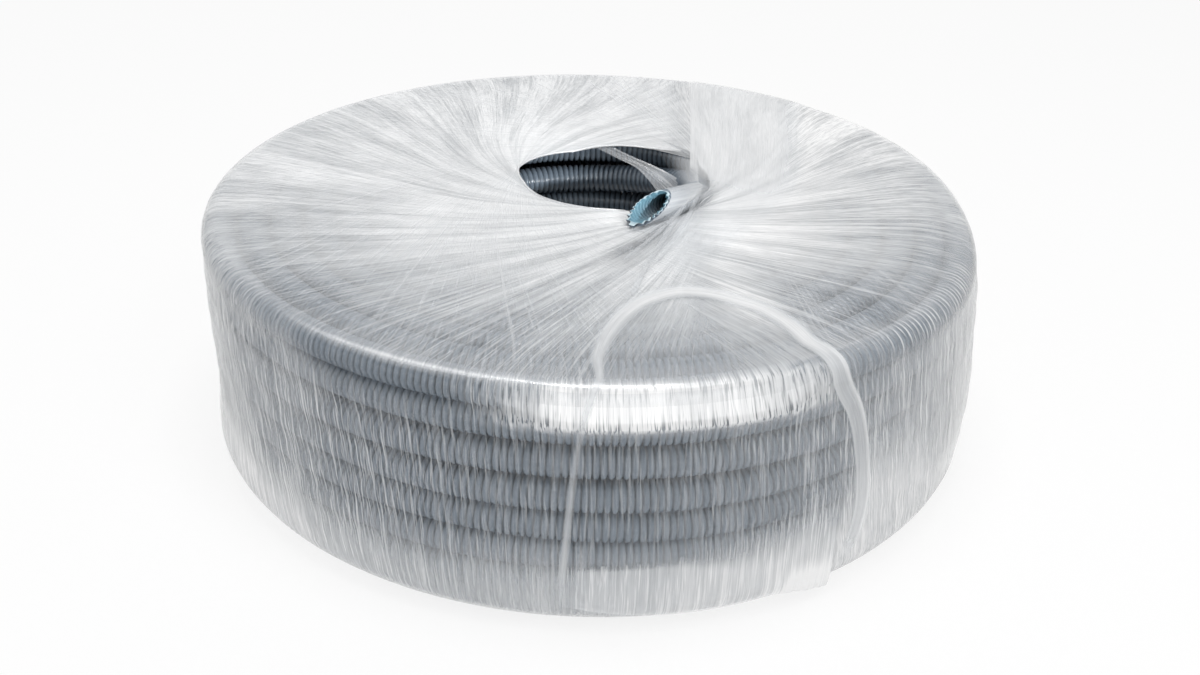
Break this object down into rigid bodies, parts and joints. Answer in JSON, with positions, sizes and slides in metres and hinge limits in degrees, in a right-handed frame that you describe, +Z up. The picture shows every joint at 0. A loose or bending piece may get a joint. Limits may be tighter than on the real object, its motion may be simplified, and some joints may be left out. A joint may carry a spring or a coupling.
{
  "type": "corrugated conduit coil",
  "caption": "Coil of grey corrugated flexible electrical conduit, wound in neat layers and wrapped in clear stretch film, with its free end at the eye.",
  "frame": {"origin": "on the coil's axis, at the floor under the flat-lying coil", "axes": "+Z up along the coil's axis, -Y towards the viewer, +X to the viewer's right"},
  "size_m": [0.4105, 0.4106, 0.1384],
  "materials": {
    "grey_pvc": "satin",
    "clear_film": "gloss"
  },
  "bodies": {
    "root": {"conduit": "grey_pvc", "stretch_film": "clear_film"}
  },
  "joints": []
}
